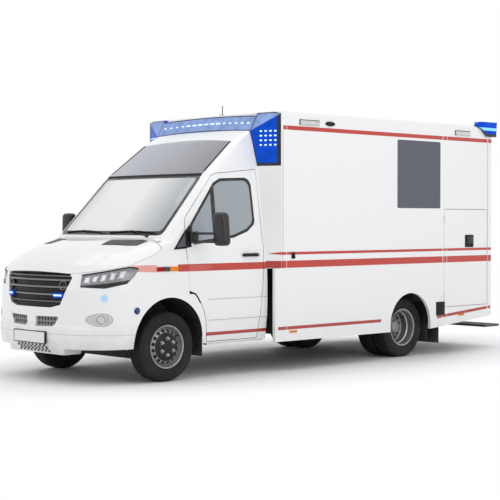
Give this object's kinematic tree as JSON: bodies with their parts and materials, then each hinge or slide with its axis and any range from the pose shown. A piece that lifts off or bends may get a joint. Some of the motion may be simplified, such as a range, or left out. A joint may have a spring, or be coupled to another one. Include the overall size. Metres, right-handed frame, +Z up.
{
  "type": "ambulance",
  "caption": "White ambulance with a square load box behind a short-nosed van cab, blue roof lights, opening doors, steered front wheels and twin rear wheels",
  "frame": {"origin": "on the ground at the middle of the overall length and width", "axes": "+X forward, +Y to the vehicle's left, +Z up"},
  "size_m": [6.593, 2.8, 2.94],
  "materials": {
    "white_paint": "gloss",
    "black_plastic": "fine grain",
    "cabin_plastic": "fine grain",
    "seat_fabric": "woven",
    "glass": "clear",
    "blue_lens": "clear tint",
    "clear_lens": "clear",
    "red_lens": "clear tint",
    "grey_panel": "satin",
    "chassis_paint": "satin",
    "cast_iron": "cast",
    "wheel_steel": "satin",
    "tyre": "rubber"
  },
  "bodies": {
    "van_body": {"box_floor": "cabin_plastic", "box_front_wall": "white_paint", "box_rear_frame": "white_paint", "box_roof": "white_paint", "box_wall_left": "white_paint", "box_wall_right": "white_paint", "box_window": "glass", "cab_back_wall": "white_paint", "cab_floor": "cabin_plastic", "cab_roof": "white_paint", "cab_sides": "white_paint", "corner_lights": "blue_lens", "crossmembers": "chassis_paint", "dashboard": "cabin_plastic", "deflector_panel": "grey_panel", "engine_and_exhaust": "cast_iron", "frame_rails": "chassis_paint", "front_beam": "chassis_paint", "front_bumper": "white_paint", "front_grille": "black_plastic", "front_lamps": "clear_lens", "front_suspension": "chassis_paint", "front_wings": "white_paint", "fuel_tank": "chassis_paint", "light_bar": "blue_lens", "rear_axle": "chassis_paint", "rear_beacons": "blue_lens", "rear_lamps": "red_lens", "rear_step": "black_plastic", "roof_fairing": "white_paint", "scuttle": "black_plastic", "seats": "seat_fabric", "side_flares": "white_paint", "wheel_liners": "black_plastic", "windscreen": "glass"},
    "knuckle_left": {"knuckle_left": "chassis_paint"},
    "knuckle_right": {"knuckle_right": "chassis_paint"},
    "wheel_front_left": {"tyre_front_left": "tyre", "rim_front_left": "wheel_steel"},
    "wheel_front_right": {"tyre_front_right": "tyre", "rim_front_right": "wheel_steel"},
    "wheels_rear_left": {"tyres_rear_left": "tyre", "rims_rear_left": "wheel_steel"},
    "wheels_rear_right": {"tyres_rear_right": "tyre", "rims_rear_right": "wheel_steel"},
    "steering_wheel": {"steering_wheel": "cabin_plastic"},
    "cab_door_left": {"cab_door_left": "white_paint", "door_glass_left": "glass", "mirror_left": "black_plastic"},
    "cab_door_right": {"cab_door_right": "white_paint", "door_glass_right": "glass", "mirror_right": "black_plastic"},
    "bonnet": {"bonnet": "white_paint"},
    "locker_door": {"locker_door": "white_paint"},
    "side_door": {"side_door": "white_paint", "side_door_glass": "glass"},
    "rear_door_left": {"rear_door_left": "white_paint", "rear_glass_left": "glass"},
    "rear_door_right": {"rear_door_right": "white_paint", "rear_glass_right": "glass"}
  },
  "joints": [
    {"name": "steer_left", "type": "hinge", "parent": "van_body", "child": "knuckle_left", "pos_m": [2.2845, 0.77, 0.355], "axis": [0, 0, 1], "range_deg": [-38, 38]},
    {"name": "steer_right", "type": "hinge", "parent": "van_body", "child": "knuckle_right", "pos_m": [2.2845, -0.77, 0.355], "axis": [0, 0, 1], "range_deg": [-38, 38]},
    {"name": "roll_front_left", "type": "hinge", "parent": "knuckle_left", "child": "wheel_front_left", "pos_m": [2.2845, 0.866, 0.355], "axis": [0, 1, 0], "continuous": true},
    {"name": "roll_front_right", "type": "hinge", "parent": "knuckle_right", "child": "wheel_front_right", "pos_m": [2.2845, -0.866, 0.355], "axis": [0, 1, 0], "continuous": true},
    {"name": "roll_rear_left", "type": "hinge", "parent": "van_body", "child": "wheels_rear_left", "pos_m": [-1.3805, 0.77, 0.355], "axis": [0, 1, 0], "continuous": true},
    {"name": "roll_rear_right", "type": "hinge", "parent": "van_body", "child": "wheels_rear_right", "pos_m": [-1.3805, -0.77, 0.355], "axis": [0, 1, 0], "continuous": true},
    {"name": "turn_steering_wheel", "type": "hinge", "parent": "van_body", "child": "steering_wheel", "pos_m": [1.7645, 0.44, 1.3], "axis": [-0.766, 0, 0.6428], "range_deg": [-532, 532]},
    {"name": "open_cab_door_left", "type": "hinge", "parent": "van_body", "child": "cab_door_left", "pos_m": [1.9845, 0.965, 1.085], "axis": [0, 0, -1], "range_deg": [0, 70]},
    {"name": "open_cab_door_right", "type": "hinge", "parent": "van_body", "child": "cab_door_right", "pos_m": [1.9845, -0.965, 1.085], "axis": [0, 0, 1], "range_deg": [0, 70]},
    {"name": "open_bonnet", "type": "hinge", "parent": "van_body", "child": "bonnet", "pos_m": [2.3445, 0, 1.39], "axis": [0, -1, 0], "range_deg": [0, 50]},
    {"name": "open_locker", "type": "hinge", "parent": "van_body", "child": "locker_door", "pos_m": [-2.0125, 1.1225, 1.1745], "axis": [0, 0, -1], "range_deg": [0, 100]},
    {"name": "open_side_door", "type": "hinge", "parent": "van_body", "child": "side_door", "pos_m": [0.6415, -1.1225, 1.595], "axis": [0, 0, 1], "range_deg": [0, 90]},
    {"name": "open_rear_door_left", "type": "hinge", "parent": "van_body", "child": "rear_door_left", "pos_m": [-2.979, 0.963, 1.6], "axis": [0, 0, -1], "range_deg": [0, 100]},
    {"name": "open_rear_door_right", "type": "hinge", "parent": "van_body", "child": "rear_door_right", "pos_m": [-2.979, -0.963, 1.6], "axis": [0, 0, 1], "range_deg": [0, 100]}
  ],
  "couplings": [
    {"joint": "steer_right", "follows": "steer_left", "ratio": 1},
    {"joint": "turn_steering_wheel", "follows": "steer_left", "ratio": 14}
  ]
}
